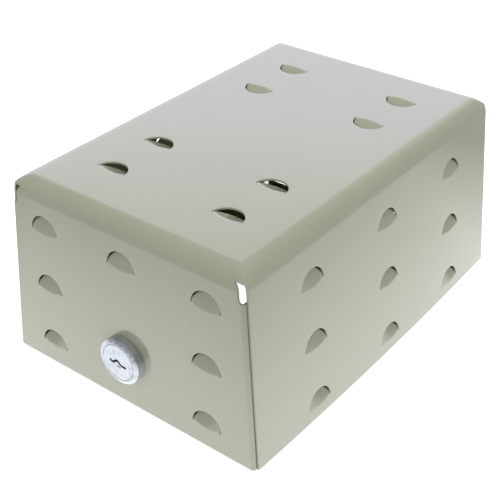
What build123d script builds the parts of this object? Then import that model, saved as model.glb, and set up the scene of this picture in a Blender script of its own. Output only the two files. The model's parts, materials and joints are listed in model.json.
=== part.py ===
from build123d import *
import os
from math import cos, radians, sin, tan

# Thermostat lock box, in millimetres. The back plate lies on the wall at z = 0, +Z points out
# of the wall, and the lock sits in the end wall that faces -Y. The cover hooks onto two tabs
# at its other end and swings off the wall about them.

# Cover: one folded sheet, with louvres pressed inwards
front_length = 190.0      # along Y, where the end walls would meet the front face
front_width = 124.0       # along X, where the side walls would meet it
depth = 91.0              # along Z, wall to front face
end_lean = 1.8            # degrees that an end wall flares out towards the wall
side_lean = 5.9           # the same for a side wall
sheet = 1.0               # steel of the cover and of the back plate
wall_gap = 0.8            # free edge of the cover above the wall
front_bend = 8.0          # outer radius round the front face
corner_bend = 1.6         # outer radius of the upright corners
corner_tab = 12.0         # strip of an end wall folded behind the side wall
seam_gap = 0.3            # free edge of a side wall past the end of the bend beside it
relief_width = 3.4        # slot over each upright corner, where three faces meet
relief_drop = 11.5        # lower end of the slot, below the front face
relief_top_drop = 4.0     # upper end of the slot, below the front face
relief_reach = 5.0        # depth of the slot through the front bend of the end wall

louvre_radius = 7.5
louvre_kerf = 0.3         # cut between the tongue and the wall
louvre_angle = 24.0       # tongue pressed in, degrees
louvre_bend = 2.0         # inner radius where the tongue leaves the wall
end_row = 10.9            # chord of the lowest louvres above the wall, end walls
side_row = 6.9            # the same in the side walls
row_pitch = 29.4
end_column = 44.0         # outer columns of an end wall, from its middle
side_column_pitch = 56.3
side_column_shift = 2.6   # middle column past the middle of the wall, away from the lock
front_column = 31.2       # columns of the front face, from its middle
front_row = 28.3          # first chord of the front face, from either end
front_row_pitch = 28.8
row_count = 3

# Back plate: a shallow tray with hinge tabs at the far end
plate_gap = 0.4
rim_height = 5.0
tray_bend = 1.7
hinge_inset = 8.0         # far rim behind the outside of the far wall
hinge_tab_width = 13.0
hinge_tab_spread = 44.0   # middle to middle
hinge_tab_level = 6.0     # underside of the tab above the wall
hinge_tab_reach = 1.5     # tab past the outside of the far wall
hinge_clearance = 0.5
hinge_slot_height = 3.6
corner_hole = 5.0
corner_hole_x = 84.0
corner_hole_y = 138.0
box_slot_spacing = 83.3   # screws of a single wall box
box_slot_length = 10.0
box_slot_width = 4.4
wire_opening_x = 56.0
wire_opening_y = 62.0
wire_opening_corner = 8.0

# Cam lock in the end wall
lock_height = 25.1        # axis above the wall
head_diameter = 21.6
head_height = 4.8
rim_drop = 0.9            # sloping rim of the head, from the face back
rim_width = 1.9
barrel_diameter = 19.0
barrel_flats = 16.0
barrel_length = 16.0      # past the outside of the end wall
barrel_fit = 0.1          # all round the barrel, in the wall and in the nut
plug_diameter = 12.6
plug_gap = 0.15           # running clearance round the plug
flange_diameter = 17.0
flange_thickness = 1.6
end_play = 0.1
keyway_width = 1.0
keyway_depth = 13.3
# middle line of the keyway, across and up from the axis
keyway_line = ((-4.5, 0.3), (-2.4, -0.4), (-0.5, 0.9), (1.3, -0.4), (2.6, -0.9), (4.5, -0.8))
pip_diameter = 2.4        # round mark beside the keyway
pip_height = 0.3
pip_across = 0.2
pip_drop = 2.6
pip_round = 0.25
washer_thickness = 0.6
washer_diameter = 25.0
washer_teeth = 12
tooth_gap = 2.4
tooth_height = 0.9
nut_thickness = 3.0
nut_flats = 24.0

# Wafers inside the plug, drawn in as they are with the key in
wafer_count = 5
wafer_thickness = 1.0
wafer_pitch = 2.0
wafer_first = 3.6         # first wafer behind the face of the head
wafer_width = 6.0
wafer_gap = 0.05
wafer_travel = 0.6
wafer_window = 8.4
wafer_window_height = 2.8
wafer_codes = (0.3, -0.2, 0.5, 0.0, -0.4)
ear_height = 1.3
ear_start = 2.0
ear_length = 1.2
spring_diameter = 1.2
spring_wire = 0.22
spring_pitch = 0.6
spring_length = 3.0
spring_play = 0.05
spring_pocket = 1.3
retainer_depth = 15.2     # retaining wafer behind the face of the head
retainer_width = 4.8
retainer_foot = 0.6       # lower end of the retaining wafer above the axis
retainer_reach = 0.65     # past the plug, into a ring groove of the housing
groove_gap = 0.3          # round a wafer in its groove

# Cam, its stop and its screw
tenon = 7.0
tenon_round = 9.4
tenon_fit = 0.05
stop_thickness = 1.0
stop_diameter = 18.6
stop_ring = 7.6           # inner radius of the stop lug
stop_lug = 8.0            # half angle of the lug
stop_depth = 1.2
stop_play = 1.0           # degrees either side of the travel
turn = 90.0
cam_thickness = 1.5
cam_hub = 18.0
cam_width = 12.0
cam_reach = 20.0          # tip from the axis
cam_tip = 3.0             # corner radius
cam_washer_diameter = 11.0
cam_washer_thickness = 0.8
screw_diameter = 4.0
screw_fit = 0.05
screw_length = 6.0        # into the plug
screw_head = 8.0
screw_head_height = 2.6
screw_round = 1.3
cross_width = 1.2
cross_length = 4.6
cross_depth = 1.4

# Keeper on the back plate, a C of strip that the cam turns into
keeper_sheet = 1.5
keeper_bend = 2.5
keeper_width = 16.0
keeper_side_gap = 2.0     # cam tip to the upright
keeper_lip_gap = 0.8      # cam edge to the lip
keeper_lip = 13.0         # lip and foot, from the outside of the upright
rivet_spacing = 9.0
rivet_shank = 3.2
rivet_head = 6.0
rivet_head_height = 1.1
rivet_round = 0.9
rivet_sink = 4.6          # flush head behind the plate
rivet_sink_depth = 0.8

os.makedirs("parts", exist_ok=True)


def side_at(level):
    # outside of a side wall, from the middle of the cover
    return front_width / 2 + (depth - level) * tan(radians(side_lean))


def end_at(level):
    # outside of an end wall, from the middle of the cover
    return front_length / 2 + (depth - level) * tan(radians(end_lean))


relief_level = depth - relief_drop
relief_top = depth - relief_top_drop
side_thickness = sheet / cos(radians(side_lean))
end_thickness = sheet / cos(radians(end_lean))
hinge_level = hinge_tab_level + sheet / 2
lock_wall = end_at(lock_height)
lock_plane = Plane(origin=(0, -lock_wall, lock_height), x_dir=(1, 0, 0), z_dir=(0, -1, 0))
face_plane = lock_plane.offset(head_height)
barrel_end = lock_plane.offset(-barrel_length)
lock_pivot = Axis((0, -lock_wall, lock_height), (1, 0, 0))


def keep(part, name):
    part.label = name
    export_step(part, f"parts/{name}.step")


def leaned(part):
    # the lock is drawn level, then turned square to its leaning wall
    return part.rotate(lock_pivot, -end_lean)


def flared_profile(half_at, lean, inset):
    # section across the cover, drawn in by an inset
    shift = inset / cos(radians(lean))
    foot = half_at(wall_gap) - shift
    head = half_at(depth - inset) - shift
    with BuildSketch() as profile:
        Polygon(
            (-foot, wall_gap),
            (foot, wall_gap),
            (head, depth - inset),
            (-head, depth - inset),
            align=None,
        )
    return profile.sketch


def bent_profile(inset):
    # section across the side walls, with its two front bends
    with BuildSketch() as profile:
        add(flared_profile(side_at, side_lean, inset))
        fillet(profile.vertices().group_by(Axis.Y)[-1], front_bend - inset)
    return profile.sketch


def flared_form(inset):
    # a block with leaning walls, whose front bends meet in a mitre at each corner
    with BuildPart() as block:
        with BuildSketch(Plane.XZ):
            add(flared_profile(side_at, side_lean, inset))
        extrude(amount=front_length, both=True)
        with BuildSketch(Plane.YZ):
            add(flared_profile(end_at, end_lean, inset))
        extrude(amount=front_width, both=True, mode=Mode.INTERSECT)
        fillet(block.faces().sort_by(Axis.Z)[-1].edges(), front_bend - inset)
    return block.part


def slot_tool(outside, reach):
    # cuts from the end through a band that follows the side wall and its front bend
    with BuildPart() as tool:
        with BuildSketch(Plane.XZ):
            add(bent_profile(outside))
            add(bent_profile(relief_width), mode=Mode.SUBTRACT)
            with Locations((0, relief_level)):
                Rectangle(
                    2 * front_width,
                    relief_top - relief_level,
                    align=(Align.CENTER, Align.MIN),
                    mode=Mode.INTERSECT,
                )
        extrude(amount=-front_length)
        with BuildSketch(Plane.YZ):
            Polygon(
                (end_at(relief_level) - reach, relief_level),
                (end_at(relief_top) - reach, relief_top),
                (front_length, relief_top),
                (front_length, relief_level),
                align=None,
            )
        extrude(amount=front_width, both=True, mode=Mode.INTERSECT)
    return tool.part + mirror(tool.part, about=Plane.XZ)


def at_corners(part):
    pair = part + mirror(part, about=Plane.YZ)
    return pair + mirror(pair, about=Plane.XZ)


def side_plane(side, y, level):
    # a plane on a side wall, whose own Y points up the wall
    lean = radians(side_lean)
    outward = Vector(side * cos(lean), 0, sin(lean))
    up = Vector(-side * sin(lean), 0, cos(lean))
    return Plane(origin=(side * side_at(level), y, level), x_dir=up.cross(outward), z_dir=outward)


def end_plane(end, x, level):
    # the same on an end wall
    lean = radians(end_lean)
    outward = Vector(0, end * cos(lean), sin(lean))
    up = Vector(0, -end * sin(lean), cos(lean))
    return Plane(origin=(x, end * end_at(level), level), x_dir=up.cross(outward), z_dir=outward)


def double_d(diameter, flats):
    with BuildSketch() as outline:
        Circle(diameter / 2)
        Rectangle(flats, diameter, mode=Mode.INTERSECT)
    return outline.sketch


def ring_sector(inner, outer, middle, half_angle):
    # part of a ring, its middle at an angle from the sketch's own Y
    corners = [(0, 0)]
    for side in (-1, 1):
        angle = radians(middle + side * half_angle)
        corners.append((2 * outer * sin(angle), 2 * outer * cos(angle)))
    with BuildSketch() as sector:
        Circle(outer)
        Circle(inner, mode=Mode.SUBTRACT)
        with BuildLine():
            Polyline(*corners, close=True)
        make_face(mode=Mode.INTERSECT)
    return sector.sketch


def coil(start, direction):
    # a compression spring standing on its start point
    with BuildPart() as spring:
        with BuildLine() as path:
            Helix(
                spring_pitch,
                spring_length - spring_wire,
                (spring_diameter - spring_wire) / 2,
                center=Vector(start) + Vector(direction) * spring_wire / 2,
                direction=direction,
            )
        with BuildSketch(Plane(origin=path.line @ 0, z_dir=path.line % 0)):
            Circle(spring_wire / 2)
        sweep(path=path.line, is_frenet=True)
    return spring.part


# Louvre tongue: the half disc left by the cut, turned inwards about its chord
tongue_radius = louvre_radius - louvre_kerf
bend_outside = louvre_bend + sheet
bend_run = (louvre_bend + sheet / 2) * radians(louvre_angle)
tilt_sin = sin(radians(louvre_angle))
tilt_cos = cos(radians(louvre_angle))
tongue_plane = Plane(
    origin=(0, bend_outside * tilt_sin, -bend_outside * (1 - tilt_cos)),
    x_dir=(1, 0, 0),
    z_dir=(0, tilt_sin, tilt_cos),
)
with BuildPart() as louvre_tongue:
    with BuildSketch(Plane.XZ):
        with Locations((0, -sheet / 2)):
            Rectangle(2 * tongue_radius, sheet)
    revolve(axis=Axis((0, 0, -bend_outside), (-1, 0, 0)), revolution_arc=louvre_angle)
    with BuildSketch(tongue_plane):
        with Locations((0, -bend_run)):
            Circle(tongue_radius)
        Rectangle(
            2 * louvre_radius, louvre_radius, align=(Align.CENTER, Align.MIN), mode=Mode.INTERSECT
        )
    extrude(amount=-sheet)

with BuildPart() as louvre_cut:
    with BuildSketch(Plane.XY.offset(sheet)):
        Circle(louvre_radius)
        Rectangle(
            2 * louvre_radius, louvre_radius, align=(Align.CENTER, Align.MIN), mode=Mode.INTERSECT
        )
    extrude(amount=-3 * sheet)

louvres = []
for row in range(row_count):
    for side in (-1, 1):
        for column in range(-1, 2):
            y = column * side_column_pitch + side_column_shift
            louvres.append(side_plane(side, y, side_row + row * row_pitch))
    for x in (-end_column, 0, end_column):
        louvres.append(end_plane(1, x, end_row + row * row_pitch))
        # below the top row the lock takes the middle of its wall
        if x != 0 or row == row_count - 1:
            louvres.append(end_plane(-1, x, end_row + row * row_pitch))
for end in (-1, 1):
    for x in (-front_column, front_column):
        for row in range(2):
            y = end * (front_length / 2 - front_row - row * front_row_pitch)
            louvres.append(Plane(origin=(x, y, depth), x_dir=(-end, 0, 0), z_dir=(0, 0, 1)))

# Strip of an end wall that turns round a corner and lies behind the side wall. The corner
# leans both ways, so its section is drawn level and extruded along it.
corner_rise = Vector(-tan(radians(side_lean)), -tan(radians(end_lean)), 1)
with BuildPart() as corner_fold:
    with BuildSketch(Plane.XY.offset(wall_gap)):
        with Locations((side_at(wall_gap) - side_thickness, end_at(wall_gap) - corner_bend)):
            with Locations((-corner_bend, 0)):
                Circle(corner_bend)
                Circle(corner_bend - end_thickness, mode=Mode.SUBTRACT)
                Rectangle(
                    corner_bend, corner_bend, align=(Align.MIN, Align.MIN), mode=Mode.INTERSECT
                )
            Rectangle(end_thickness, corner_tab, align=(Align.MAX, Align.MAX))
    extrude(amount=(relief_level - wall_gap) * corner_rise.length, dir=corner_rise)

# What the walls leave open there
with BuildPart() as corner_gap:
    with BuildSketch(Plane.XY):
        with Locations((side_at(0) + sheet, end_at(0) + sheet)):
            Rectangle(
                sheet + side_thickness + corner_bend,
                sheet + corner_bend + seam_gap,
                align=(Align.MAX, Align.MAX),
            )
    extrude(amount=relief_level * corner_rise.length, dir=corner_rise)

with BuildPart() as barrel_hole:
    with BuildSketch(lock_plane.offset(sheet)):
        add(double_d(barrel_diameter + 2 * barrel_fit, barrel_flats + 2 * barrel_fit))
    extrude(amount=-3 * sheet)

with BuildPart() as cover_shell:
    add(flared_form(0))
    add(flared_form(sheet), mode=Mode.SUBTRACT)
    add(at_corners(corner_gap.part), mode=Mode.SUBTRACT)
    add(at_corners(corner_fold.part))
    add(slot_tool(-sheet, corner_bend + seam_gap), mode=Mode.SUBTRACT)
    add(slot_tool(sheet, relief_reach), mode=Mode.SUBTRACT)
    with Locations(*louvres):
        add(louvre_cut.part, mode=Mode.SUBTRACT)
    with Locations(*louvres):
        add(louvre_tongue.part)
    add(leaned(barrel_hole.part), mode=Mode.SUBTRACT)
    with BuildSketch(Plane.XZ.offset(-end_at(hinge_level) - sheet)):
        with Locations((-hinge_tab_spread / 2, hinge_level), (hinge_tab_spread / 2, hinge_level)):
            Rectangle(hinge_tab_width + 2 * hinge_clearance, hinge_slot_height)
    extrude(amount=3 * sheet, mode=Mode.SUBTRACT)
keep(cover_shell.part, "cover_shell")

# Places along the lock, measured inwards from the face of the head
barrel_depth = head_height + barrel_length
cam_depth = barrel_depth + end_play + stop_thickness
tenon_depth = cam_depth + cam_thickness - end_play
bore = plug_diameter / 2 + plug_gap
wafer_tip = plug_diameter / 2 - 2 * wafer_gap
groove_radius = wafer_tip + wafer_travel + groove_gap
groove_start = wafer_first - wafer_thickness / 2 - groove_gap
groove_length = (wafer_count - 1) * wafer_pitch + wafer_thickness + 2 * groove_gap
ring_groove = wafer_thickness + 2 * groove_gap
ear_end = ear_start + ear_length
spring_floor = ear_start - spring_length - 2 * spring_play
spring_level = (wafer_width + spring_diameter) / 2 + spring_play + wafer_gap
wafer_depths = [wafer_first + index * wafer_pitch for index in range(wafer_count)]

# Keeper, placed so that the cam passes beside its upright and under its lip
cam_reach_in = cam_depth + cam_thickness / 2 - head_height
keeper_y = cam_reach_in * cos(radians(end_lean)) - lock_wall
cam_level = lock_height - cam_reach_in * sin(radians(end_lean))
keeper_inner = -cam_reach - keeper_side_gap
keeper_outer = keeper_inner - keeper_sheet
keeper_top = cam_level + cam_width / 2 + keeper_lip_gap + keeper_sheet
rivet_x = keeper_inner + (keeper_lip - keeper_sheet) / 2
rivet_points = [(rivet_x, keeper_y - rivet_spacing / 2), (rivet_x, keeper_y + rivet_spacing / 2)]

# Back plate: floor and rims folded from one sheet, corners left open
plate_x = 2 * (side_at(rim_height) - 2 * side_thickness - plate_gap)
plate_near = -(end_at(rim_height) - end_thickness - plate_gap)
plate_far = end_at(hinge_level) - hinge_inset
plate_y = plate_far - plate_near
plate_middle = (plate_far + plate_near) / 2
tray_corner = tray_bend + sheet
tab_top = hinge_tab_level + sheet


def rim_section(span, middle):
    # floor and two rims, seen along the folds
    with BuildSketch() as section:
        with Locations((middle, 0)):
            Rectangle(span, rim_height, align=(Align.CENTER, Align.MIN))
        fillet(section.vertices().group_by(Axis.Y)[0], tray_bend)
    with BuildSketch() as hollow:
        with Locations((middle, sheet)):
            Rectangle(span - 2 * sheet, rim_height, align=(Align.CENTER, Align.MIN))
        fillet(hollow.vertices().group_by(Axis.Y)[0], tray_bend - sheet)
    return section.sketch - hollow.sketch


side_rims = rim_section(plate_x, 0)
end_rims = rim_section(plate_y, plate_middle)
with BuildPart() as back_plate:
    with BuildSketch(Plane.XZ.offset(-plate_near - tray_corner)):
        add(side_rims)
    extrude(amount=2 * tray_corner - plate_y)
    with BuildSketch(Plane.YZ.offset(tray_corner - plate_x / 2)):
        add(end_rims)
    extrude(amount=plate_x - 2 * tray_corner)
    # hinge tabs rise from the far rim and turn out through the cover
    for x in (-hinge_tab_spread / 2, hinge_tab_spread / 2):
        with BuildSketch(Plane.YZ.offset(x - hinge_tab_width / 2)) as tab_section:
            with Locations((plate_far - sheet, tab_top)):
                Rectangle(sheet, tab_top - tray_bend, align=(Align.MIN, Align.MAX))
                Rectangle(
                    hinge_inset + sheet + hinge_tab_reach, sheet, align=(Align.MIN, Align.MAX)
                )
            fillet(tab_section.vertices().group_by(Axis.Y)[-1].sort_by(Axis.X)[0], tray_bend)
        extrude(amount=hinge_tab_width)
    with BuildSketch(Plane.XY):
        RectangleRounded(wire_opening_x, wire_opening_y, wire_opening_corner)
        with GridLocations(corner_hole_x, corner_hole_y, 2, 2):
            Circle(corner_hole / 2)
        with GridLocations(0, box_slot_spacing, 1, 2):
            SlotOverall(box_slot_length, box_slot_width, rotation=90)
        with Locations(*rivet_points):
            Circle(rivet_shank / 2)
    extrude(amount=sheet, mode=Mode.SUBTRACT)
    # the rivets are sunk flush where the plate meets the wall
    with Locations(*rivet_points):
        Cone(
            rivet_sink / 2,
            rivet_shank / 2,
            rivet_sink_depth,
            align=(Align.CENTER, Align.CENTER, Align.MIN),
            mode=Mode.SUBTRACT,
        )
keep(back_plate.part, "back_plate")

with BuildPart() as keeper_bracket:
    with BuildSketch(Plane.XZ.offset(-keeper_y)) as keeper_section:
        with Locations((keeper_outer, sheet)):
            Rectangle(keeper_lip, keeper_top - sheet, align=(Align.MIN, Align.MIN))
        fillet(keeper_section.vertices().group_by(Axis.X)[0], keeper_bend)
        with BuildSketch(mode=Mode.PRIVATE) as keeper_mouth:
            with Locations((keeper_inner, sheet + keeper_sheet)):
                Rectangle(
                    keeper_lip, keeper_top - sheet - 2 * keeper_sheet, align=(Align.MIN, Align.MIN)
                )
            fillet(keeper_mouth.vertices().group_by(Axis.X)[0], keeper_bend - keeper_sheet)
        add(keeper_mouth.sketch, mode=Mode.SUBTRACT)
    extrude(amount=keeper_width / 2, both=True)
    with Locations(*[(x, y, sheet) for x, y in rivet_points]):
        Cylinder(
            rivet_shank / 2,
            keeper_sheet,
            align=(Align.CENTER, Align.CENTER, Align.MIN),
            mode=Mode.SUBTRACT,
        )
keep(keeper_bracket.part, "keeper_bracket")

with BuildPart() as keeper_rivets:
    with BuildSketch(Plane.XY):
        with Locations(*rivet_points):
            Circle(rivet_shank / 2)
    extrude(amount=sheet + keeper_sheet)
    with Locations(*rivet_points):
        Cone(
            rivet_sink / 2,
            rivet_shank / 2,
            rivet_sink_depth,
            align=(Align.CENTER, Align.CENTER, Align.MIN),
        )
    with BuildSketch(Plane.XY.offset(sheet + keeper_sheet)):
        with Locations(*rivet_points):
            Circle(rivet_head / 2)
    extrude(amount=rivet_head_height)
    fillet(keeper_rivets.edges().group_by(Axis.Z)[-1], rivet_round)
keep(keeper_rivets.part, "keeper_rivets")

with BuildPart() as lock_housing:
    with BuildSketch(lock_plane):
        Circle(head_diameter / 2)
    extrude(amount=head_height - rim_drop)
    with BuildSketch(face_plane.offset(-rim_drop)):
        Circle(head_diameter / 2)
    with BuildSketch(face_plane):
        Circle(head_diameter / 2 - rim_width)
    loft()
    with BuildSketch(lock_plane):
        add(double_d(barrel_diameter, barrel_flats))
    extrude(amount=-barrel_length)
    with BuildSketch(face_plane):
        Circle(flange_diameter / 2 + plug_gap)
    extrude(amount=-flange_thickness - end_play, mode=Mode.SUBTRACT)
    with BuildSketch(face_plane):
        Circle(bore)
    extrude(amount=-barrel_depth, mode=Mode.SUBTRACT)
    # crossed grooves catch the wafers at either end of the turn
    with BuildSketch(face_plane.offset(-groove_start)):
        Rectangle(2 * groove_radius, wafer_width + 2 * groove_gap)
        Rectangle(wafer_width + 2 * groove_gap, 2 * groove_radius)
        Circle(groove_radius, mode=Mode.INTERSECT)
    extrude(amount=-groove_length, mode=Mode.SUBTRACT)
    with BuildSketch(face_plane.offset(ring_groove / 2 - retainer_depth)):
        Circle(plug_diameter / 2 + retainer_reach + plug_gap)
    extrude(amount=-ring_groove, mode=Mode.SUBTRACT)
    # recess in the end of the barrel that the stop lug travels in
    with BuildSketch(barrel_end):
        add(ring_sector(stop_ring - plug_gap, barrel_diameter, 0, turn / 2 + stop_lug + stop_play))
    extrude(amount=stop_depth + end_play, mode=Mode.SUBTRACT)
keep(leaned(lock_housing.part), "lock_housing")

with BuildPart() as lock_washer:
    with BuildSketch(lock_plane.offset(-sheet)):
        Circle(washer_diameter / 2)
        Circle(barrel_diameter / 2 + barrel_fit, mode=Mode.SUBTRACT)
        with PolarLocations(washer_diameter / 2, washer_teeth):
            Rectangle(2 * tooth_height, tooth_gap, mode=Mode.SUBTRACT)
    extrude(amount=-washer_thickness)
keep(leaned(lock_washer.part), "lock_washer")

with BuildPart() as lock_nut:
    with BuildSketch(lock_plane.offset(-sheet - washer_thickness)):
        RegularPolygon(nut_flats / 2, 6, major_radius=False)
        Circle(barrel_diameter / 2 + barrel_fit, mode=Mode.SUBTRACT)
    extrude(amount=-nut_thickness)
keep(leaned(lock_nut.part), "lock_nut")

with BuildPart() as lock_plug:
    with BuildSketch(face_plane):
        Circle(flange_diameter / 2)
    extrude(amount=-flange_thickness)
    with BuildSketch(face_plane):
        Circle(plug_diameter / 2)
    extrude(amount=-barrel_depth - end_play)
    with BuildSketch(face_plane.offset(-barrel_depth)):
        Rectangle(tenon, tenon)
        Circle(tenon_round / 2, mode=Mode.INTERSECT)
    extrude(amount=barrel_depth - tenon_depth)
    with BuildSketch(face_plane):
        with BuildLine():
            Spline(*keyway_line)
        trace(line_width=keyway_width)
    extrude(amount=-keyway_depth, mode=Mode.SUBTRACT)
    with BuildSketch(face_plane):
        with Locations((pip_across, -pip_drop)):
            Circle(pip_diameter / 2)
    extrude(amount=pip_height)
    fillet(lock_plug.edges().group_by(Axis.Y)[0], pip_round)
    for place in wafer_depths:
        with BuildSketch(face_plane.offset(wafer_thickness / 2 + wafer_gap - place)):
            Rectangle(plug_diameter, wafer_width + 2 * wafer_gap)
        extrude(amount=-wafer_thickness - 2 * wafer_gap, mode=Mode.SUBTRACT)
        # pocket beside the slot for the wafer's ear and its spring
        with BuildSketch(face_plane.offset(spring_pocket / 2 - place)):
            with Locations((spring_floor, 0)):
                Rectangle(
                    ear_end + wafer_travel + wafer_gap - spring_floor,
                    wafer_width / 2 + ear_height + wafer_gap,
                    align=(Align.MIN, Align.MIN),
                )
        extrude(amount=-spring_pocket, mode=Mode.SUBTRACT)
    with BuildSketch(face_plane.offset(wafer_thickness / 2 + wafer_gap - retainer_depth)):
        with Locations((0, retainer_foot)):
            Rectangle(
                retainer_width + 2 * wafer_gap, plug_diameter, align=(Align.CENTER, Align.MIN)
            )
    extrude(amount=-wafer_thickness - 2 * wafer_gap, mode=Mode.SUBTRACT)
    with BuildSketch(face_plane.offset(spring_pocket / 2 - retainer_depth)):
        with Locations((0, retainer_foot)):
            Rectangle(
                spring_pocket, spring_length + 2 * spring_play, align=(Align.CENTER, Align.MAX)
            )
    extrude(amount=-spring_pocket, mode=Mode.SUBTRACT)
    with BuildSketch(face_plane.offset(-tenon_depth)):
        Circle(screw_diameter / 2 + screw_fit)
    extrude(amount=screw_length, mode=Mode.SUBTRACT)
keep(leaned(lock_plug.part), "lock_plug")

for index, place in enumerate(wafer_depths):
    with BuildPart() as wafer:
        with BuildSketch(face_plane.offset(wafer_thickness / 2 - place)):
            Rectangle(2 * wafer_tip, wafer_width)
            Circle(wafer_tip, mode=Mode.INTERSECT)
            with Locations((ear_start, 0)):
                Rectangle(ear_length, wafer_width / 2 + ear_height, align=(Align.MIN, Align.MIN))
            with Locations((wafer_codes[index], 0)):
                Rectangle(wafer_window, wafer_window_height, mode=Mode.SUBTRACT)
        extrude(amount=-wafer_thickness)
    keep(leaned(wafer.part), f"wafer_{index + 1}")

spring_places = [
    (spring_floor + spring_play, place - head_height - lock_wall, lock_height + spring_level)
    for place in wafer_depths
]
with BuildPart() as wafer_springs:
    for place in spring_places:
        add(coil(place, (1, 0, 0)))
keep(leaned(wafer_springs.part), "wafer_springs")

with BuildPart() as retainer_wafer:
    with BuildSketch(face_plane.offset(wafer_thickness / 2 - retainer_depth)):
        with Locations((0, retainer_foot)):
            Rectangle(retainer_width, plug_diameter, align=(Align.CENTER, Align.MIN))
        Circle(plug_diameter / 2 + retainer_reach, mode=Mode.INTERSECT)
    extrude(amount=-wafer_thickness)
keep(leaned(retainer_wafer.part), "retainer_wafer")

retainer_y = retainer_depth - head_height - lock_wall
retainer_base = lock_height + retainer_foot - spring_play - spring_length
with BuildPart() as retainer_spring:
    add(coil((0, retainer_y, retainer_base), (0, 0, 1)))
keep(leaned(retainer_spring.part), "retainer_spring")

with BuildPart() as stop_washer:
    with BuildSketch(face_plane.offset(-barrel_depth - end_play)):
        Circle(stop_diameter / 2)
        Rectangle(tenon + 2 * tenon_fit, tenon + 2 * tenon_fit, mode=Mode.SUBTRACT)
    extrude(amount=-stop_thickness)
    with BuildSketch(face_plane.offset(-barrel_depth - end_play)):
        add(ring_sector(stop_ring, stop_diameter / 2, -turn / 2, stop_lug))
    extrude(amount=stop_depth)
keep(leaned(stop_washer.part), "stop_washer")

with BuildPart() as cam:
    with BuildSketch(face_plane.offset(-cam_depth)) as cam_outline:
        Rectangle(cam_width, cam_reach, align=(Align.CENTER, Align.MAX))
        fillet(cam_outline.vertices().group_by(Axis.Y)[0], cam_tip)
        Circle(cam_hub / 2)
        Rectangle(tenon + 2 * tenon_fit, tenon + 2 * tenon_fit, mode=Mode.SUBTRACT)
    extrude(amount=-cam_thickness)
keep(leaned(cam.part), "cam")

cam_back = face_plane.offset(-cam_depth - cam_thickness)
with BuildPart() as cam_washer:
    with BuildSketch(cam_back):
        Circle(cam_washer_diameter / 2)
        Circle(screw_diameter / 2 + screw_fit, mode=Mode.SUBTRACT)
    extrude(amount=-cam_washer_thickness)
keep(leaned(cam_washer.part), "cam_washer")

head_plane = cam_back.offset(-cam_washer_thickness)
with BuildPart() as cam_screw:
    with BuildSketch(head_plane):
        Circle(screw_head / 2)
    extrude(amount=-screw_head_height)
    fillet(cam_screw.edges().group_by(Axis.Y)[-1], screw_round)
    with BuildSketch(head_plane.offset(-screw_head_height)):
        Rectangle(cross_length, cross_width)
        Rectangle(cross_width, cross_length)
    extrude(amount=cross_depth, mode=Mode.SUBTRACT)
    with BuildSketch(head_plane):
        Circle(screw_diameter / 2)
    extrude(amount=cam_washer_thickness + end_play + screw_length - tenon_fit)
keep(leaned(cam_screw.part), "cam_screw")
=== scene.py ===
import json
import math

import bmesh
import bpy
from mathutils import Matrix, Vector
from mathutils.geometry import delaunay_2d_cdt


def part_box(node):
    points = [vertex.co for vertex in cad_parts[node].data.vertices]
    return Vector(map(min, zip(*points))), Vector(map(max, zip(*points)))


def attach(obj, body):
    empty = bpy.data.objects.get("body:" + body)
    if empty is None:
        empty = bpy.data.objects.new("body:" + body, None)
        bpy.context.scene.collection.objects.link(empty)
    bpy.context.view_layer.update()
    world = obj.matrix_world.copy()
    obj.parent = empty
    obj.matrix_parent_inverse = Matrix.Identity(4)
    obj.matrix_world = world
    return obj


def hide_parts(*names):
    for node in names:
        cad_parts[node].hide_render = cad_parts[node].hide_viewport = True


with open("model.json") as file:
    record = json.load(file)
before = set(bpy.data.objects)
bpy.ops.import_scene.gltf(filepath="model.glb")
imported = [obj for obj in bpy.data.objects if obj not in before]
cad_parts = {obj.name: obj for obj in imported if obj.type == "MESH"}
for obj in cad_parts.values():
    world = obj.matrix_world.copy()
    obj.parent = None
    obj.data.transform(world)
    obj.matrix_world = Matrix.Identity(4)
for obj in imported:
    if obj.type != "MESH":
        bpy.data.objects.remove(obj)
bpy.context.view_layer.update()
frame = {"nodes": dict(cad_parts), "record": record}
nodes = frame["nodes"]
bodies = frame["record"]["behaviour"]["bodies"]
bodyOf = {node: body for body, members in bodies.items() for node in members}
slotOf = {entry["node"]: entry["material_slot"] for entry in frame["record"]["subparts"]}
mm = 0.001
print("frame loaded:", len(nodes), "nodes")


def intoScene(item):
    bpy.context.scene.collection.objects.link(item)
    return item


# Camera: raised, in front of the corner between the lock end and the right side
viewpoint = {
    "place": (0.24736, -0.32986, 0.30107),
    "forward": (-0.5116, 0.6585, -0.5520),
    "up": (-0.3343, 0.4392, 0.8338),
    "lens": 73.93,
    "sensor": 36.0,
    "clip": (0.01, 20.0),
}


def placeCamera(view):
    data = bpy.data.cameras.new("studioCamera")
    data.sensor_fit = "HORIZONTAL"
    data.sensor_width = view["sensor"]
    data.lens = view["lens"]
    data.clip_start, data.clip_end = view["clip"]
    camera = intoScene(bpy.data.objects.new("studioCamera", data))
    back = -Vector(view["forward"]).normalized()
    right = Vector(view["up"]).cross(back).normalized()
    up = back.cross(right)
    turn = Matrix((right, up, back)).transposed()
    camera.matrix_world = Matrix.Translation(view["place"]) @ turn.to_4x4()
    bpy.context.scene.camera = camera


placeCamera(viewpoint)


# Small helpers for node trees
def newMaterial(name):
    material = bpy.data.materials.new(name)
    material.use_nodes = True
    tree = material.node_tree
    shader = tree.nodes["Principled BSDF"]
    return material, tree, shader


def addNode(tree, kind, inputs=None, **settings):
    node = tree.nodes.new(kind)
    for key, value in settings.items():
        setattr(node, key, value)
    for key, value in (inputs or {}).items():
        if isinstance(value, bpy.types.NodeSocket):
            tree.links.new(value, node.inputs[key])
        else:
            node.inputs[key].default_value = value
    return node


def objectPlace(tree):
    return addNode(tree, "ShaderNodeTexCoord").outputs["Object"]


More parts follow.
